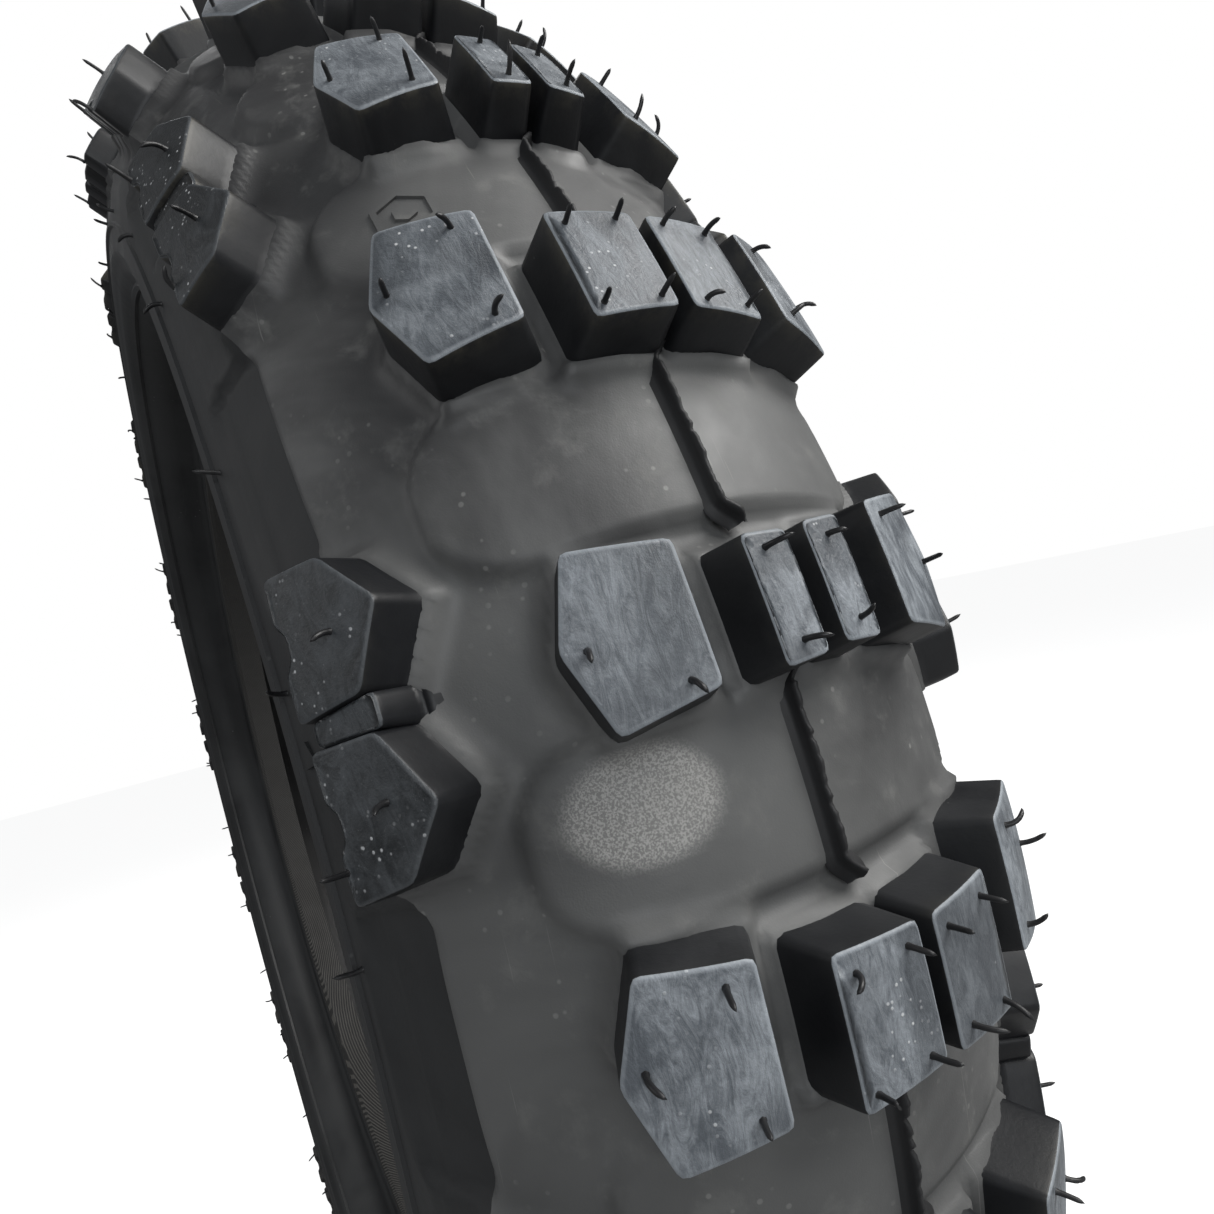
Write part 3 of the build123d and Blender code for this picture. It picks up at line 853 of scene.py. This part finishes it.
def make_fin():
    shell = Shell()
    x = np.linspace(-FIN_HALF, FIN_HALF, FIN_STEPS)
    y = fin_line(x)
    slope = np.gradient(y, x)
    run = np.stack([np.ones_like(x), slope], -1) / np.hypot(1, slope)[:, None]
    for gap in range(2 * ROW_PAIRS):
        edge = FIN_H + ragged(FIN_STEPS, rng)
        edge *= smooth((FIN_HALF + 1.5 - np.abs(x)) / 3.0)
        rows = []
        for index, (across, up) in enumerate(FIN_SECTION):
            height = edge if index in FIN_TOPS else np.minimum(up, np.maximum(edge - 0.2, -0.5))
            px = x - across * run[:, 1]
            py = y + across * run[:, 0]
            rho = BASE_C + np.sqrt((BASE_R + PAD_H + height) ** 2 - py ** 2)
            a = np.arcsin(px / rho)
            rows.append(np.stack([-rho * np.sin(a), py, rho * np.cos(a)], -1))
        rows = np.array(rows)
        shell.lattice(turned(rows, (gap + 0.5) * PITCH + SIDE_SHIFT), 0, around=False)
    shell.write("parting_line_fin_moulded", [FIN], "tread_rubber", ["parting_line_fin"])


# ---- vent hairs ---------------------------------------------------------------
HAIR_R = 0.55
HAIR_SIDES = 7
HAIR_RINGS = 9
HAIR_BENDS = (0.15, 0.3, 0.5, 0.8, 1.2)
HAIR_KEPT = 0.96
SIDE_HAIR_ANGLE = 80.0


def add_hair(shell, root, normal):
    """One thin rubber whisker that leaves the surface and bends at random."""
    normal = normal / np.linalg.norm(normal)
    axis = np.array([0.0, 1.0, 0.0])
    side = np.cross(normal, axis)
    side /= np.linalg.norm(side)
    other = np.cross(normal, side)
    heading = rng.uniform(0, 2 * math.pi)
    bend_to = math.cos(heading) * side + math.sin(heading) * other
    bend = rng.choice(HAIR_BENDS) * rng.uniform(0.7, 1.2)
    length = rng.uniform(3.6, 5.6)
    point = root - 0.4 * normal
    rings = []
    for i in range(HAIR_RINGS):
        t = i / (HAIR_RINGS - 1)
        direction = normal * math.cos(bend * t * 1.2) + bend_to * math.sin(bend * t * 1.2)
        width = HAIR_R * (1.0 + 0.5 * max(0.0, 1 - t * 7) - 0.15 * t)
        if i == HAIR_RINGS - 1:
            width *= 0.7
        frame_a = np.cross(direction, axis)
        frame_a /= np.linalg.norm(frame_a)
        frame_b = np.cross(direction, frame_a)
        ring = [
            point + width * (math.cos(a) * frame_a + math.sin(a) * frame_b)
            for a in np.linspace(0, 2 * math.pi, HAIR_SIDES, endpoint=False)
        ]
        rings.append(ring)
        point = point + direction * length / (HAIR_RINGS - 1)
    rings = np.array(rings)
    start = shell.lattice(rings, 0)
    last = start + (HAIR_RINGS - 1) * HAIR_SIDES
    shell.fan(last, HAIR_SIDES, point, 0, flip=True)


def make_hairs():
    shell = Shell()
    for root, normal in HAIR_ROOTS:
        if rng.random() < HAIR_KEPT:
            add_hair(shell, root, normal)
    shell.write("vent_hairs_tread", [HAIR], "knob_rubber")
    shell = Shell()
    for _, sign in SIDES:
        a = math.radians(SIDE_HAIR_ANGLE)
        outward = np.array([0.0, sign * math.sin(a), math.cos(a)])
        root = np.array([0.0, sign * SIDE_Y, SIDE_R]) + SIDE_ARC * outward
        for row in range(2 * ROW_PAIRS):
            angle = row * PITCH + PITCH * 0.35 + rng.uniform(-0.8, 0.8)
            add_hair(shell, turned(root, angle), turned(outward, angle))
    shell.write("vent_hairs_sidewall", [HAIR], "sidewall_rubber")


# ---- CAD nodes that stay --------------------------------------------------------
KEPT = {
    "emblem": TREAD, "breaker_ply": CORD, "carcass_ply_outer": CORD, "carcass_ply_inner": CORD,
    "inner_liner": LINER,
}
KEPT_SIDED = {
    "rim_line_rib": SIDEWALL, "sidewall_rib": SIDEWALL, "wear_marks": SIDEWALL, "bead_bundle": WIRE,
    "bead_filler": BEAD, "chafer": CHAFER,
}


def finish_cad_nodes():
    wanted = dict(KEPT)
    for name, material in KEPT_SIDED.items():
        for side, _ in SIDES:
            wanted[f"{name}_{side}"] = material
    for name, material in wanted.items():
        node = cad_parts[name]
        for slot in node.material_slots:
            slot.material = material


# ---- stage, light and camera ----------------------------------------------------
FLOOR_GLOW = 0.9
FLOOR_HALF = 8.0
FLOOR_GAP = 0.0008       # metres between the lowest knob and the floor
WORLD_GLOW = 0.15


def make_floor():
    """Pale floor that looks white to the camera and adds little light of its own."""
    mesh = bpy.data.meshes.new("floor")
    half = FLOOR_HALF
    z = -OUTER_R * MM - FLOOR_GAP
    corners = [(-half, -half, z), (half, -half, z), (half, half, z), (-half, half, z)]
    mesh.from_pydata(corners, [], [(0, 1, 2, 3)])
    floor = bpy.data.objects.new("floor", mesh)
    bpy.context.scene.collection.objects.link(floor)
    material = bpy.data.materials.new("floor_paint")
    material.use_nodes = True
    shader = material.node_tree.nodes["Principled BSDF"]
    shader.inputs["Base Color"].default_value = (0.3, 0.3, 0.3, 1.0)
    shader.inputs["Roughness"].default_value = 0.9
    shader.inputs["Emission Color"].default_value = (FLOOR_GLOW, FLOOR_GLOW, FLOOR_GLOW, 1.0)
    rays = material.node_tree.nodes.new("ShaderNodeLightPath")
    material.node_tree.links.new(rays.outputs["Is Camera Ray"], shader.inputs["Emission Strength"])
    mesh.materials.append(material)


def make_world():
    """White backdrop to the camera, a dimmer even glow on the rubber."""
    world = bpy.data.worlds.new("studio")
    bpy.context.scene.world = world
    world.use_nodes = True
    nodes = world.node_tree.nodes
    glow = nodes["Background"]
    glow.inputs["Color"].default_value = (0.93, 0.96, 1.0, 1.0)
    glow.inputs["Strength"].default_value = WORLD_GLOW
    sky = nodes.new("ShaderNodeBackground")
    sky.inputs["Color"].default_value = (1.0, 1.0, 1.0, 1.0)
    sky.inputs["Strength"].default_value = 1.0
    rays = nodes.new("ShaderNodeLightPath")
    mix = nodes.new("ShaderNodeMixShader")
    links = world.node_tree.links
    links.new(rays.outputs["Is Camera Ray"], mix.inputs[0])
    links.new(glow.outputs[0], mix.inputs[1])
    links.new(sky.outputs[0], mix.inputs[2])
    links.new(mix.outputs[0], nodes["World Output"].inputs["Surface"])


def area_light(name, place, aim, size, power, colour=(1.0, 1.0, 1.0)):
    data = bpy.data.lights.new(name, "AREA")
    data.shape = "DISK"
    data.size = size
    data.energy = power
    data.color = colour
    light = bpy.data.objects.new(name, data)
    light.location = place
    light.rotation_euler = (Vector(aim) - Vector(place)).to_track_quat("-Z", "Y").to_euler()
    bpy.context.scene.collection.objects.link(light)


CAMERA_AT = Vector((425.3, -90.0, 67.7))
CAMERA_RIGHT = Vector((0.5316, 0.8145, -0.2323))
CAMERA_DOWN = Vector((-0.1048, -0.2089, -0.9723))
FOCAL_SHARE = 0.6389
SHIFT = (-0.0478, 0.0198)
SENSOR = 36.0


def make_camera():
    data = bpy.data.cameras.new("camera")
    data.sensor_width = SENSOR
    data.lens = FOCAL_SHARE * SENSOR
    data.clip_start = 0.01
    data.shift_x, data.shift_y = SHIFT
    camera = bpy.data.objects.new("camera", data)
    right = CAMERA_RIGHT.normalized()
    up = -(CAMERA_DOWN - right * CAMERA_DOWN.dot(right)).normalized()
    back = right.cross(up)
    turn = Matrix((right, up, back)).transposed().to_4x4()
    camera.matrix_world = Matrix.Translation(CAMERA_AT * MM) @ turn
    bpy.context.scene.collection.objects.link(camera)
    bpy.context.scene.camera = camera


make_tread_base()
make_sidewalls()
make_knobs()
make_fin()
make_hairs()
finish_cad_nodes()
make_floor()
make_world()
tread_face = (0.3, -0.02, 0.05)
area_light("key", (1.05, 0.75, 1.05), tread_face, 1.1, 30.0, (1.0, 0.99, 0.97))
area_light("camera_side", (1.5, -0.5, 0.35), tread_face, 0.9, 7.0, (0.94, 0.97, 1.0))
area_light("back", (-1.2, 0.4, 1.2), (-0.1, 0.0, 0.1), 1.4, 15.0)
area_light("left", (-0.3, -1.6, 0.8), (0.0, 0.0, 0.0), 1.4, 5.0)
make_camera()
bpy.context.scene.view_settings.view_transform = "Standard"
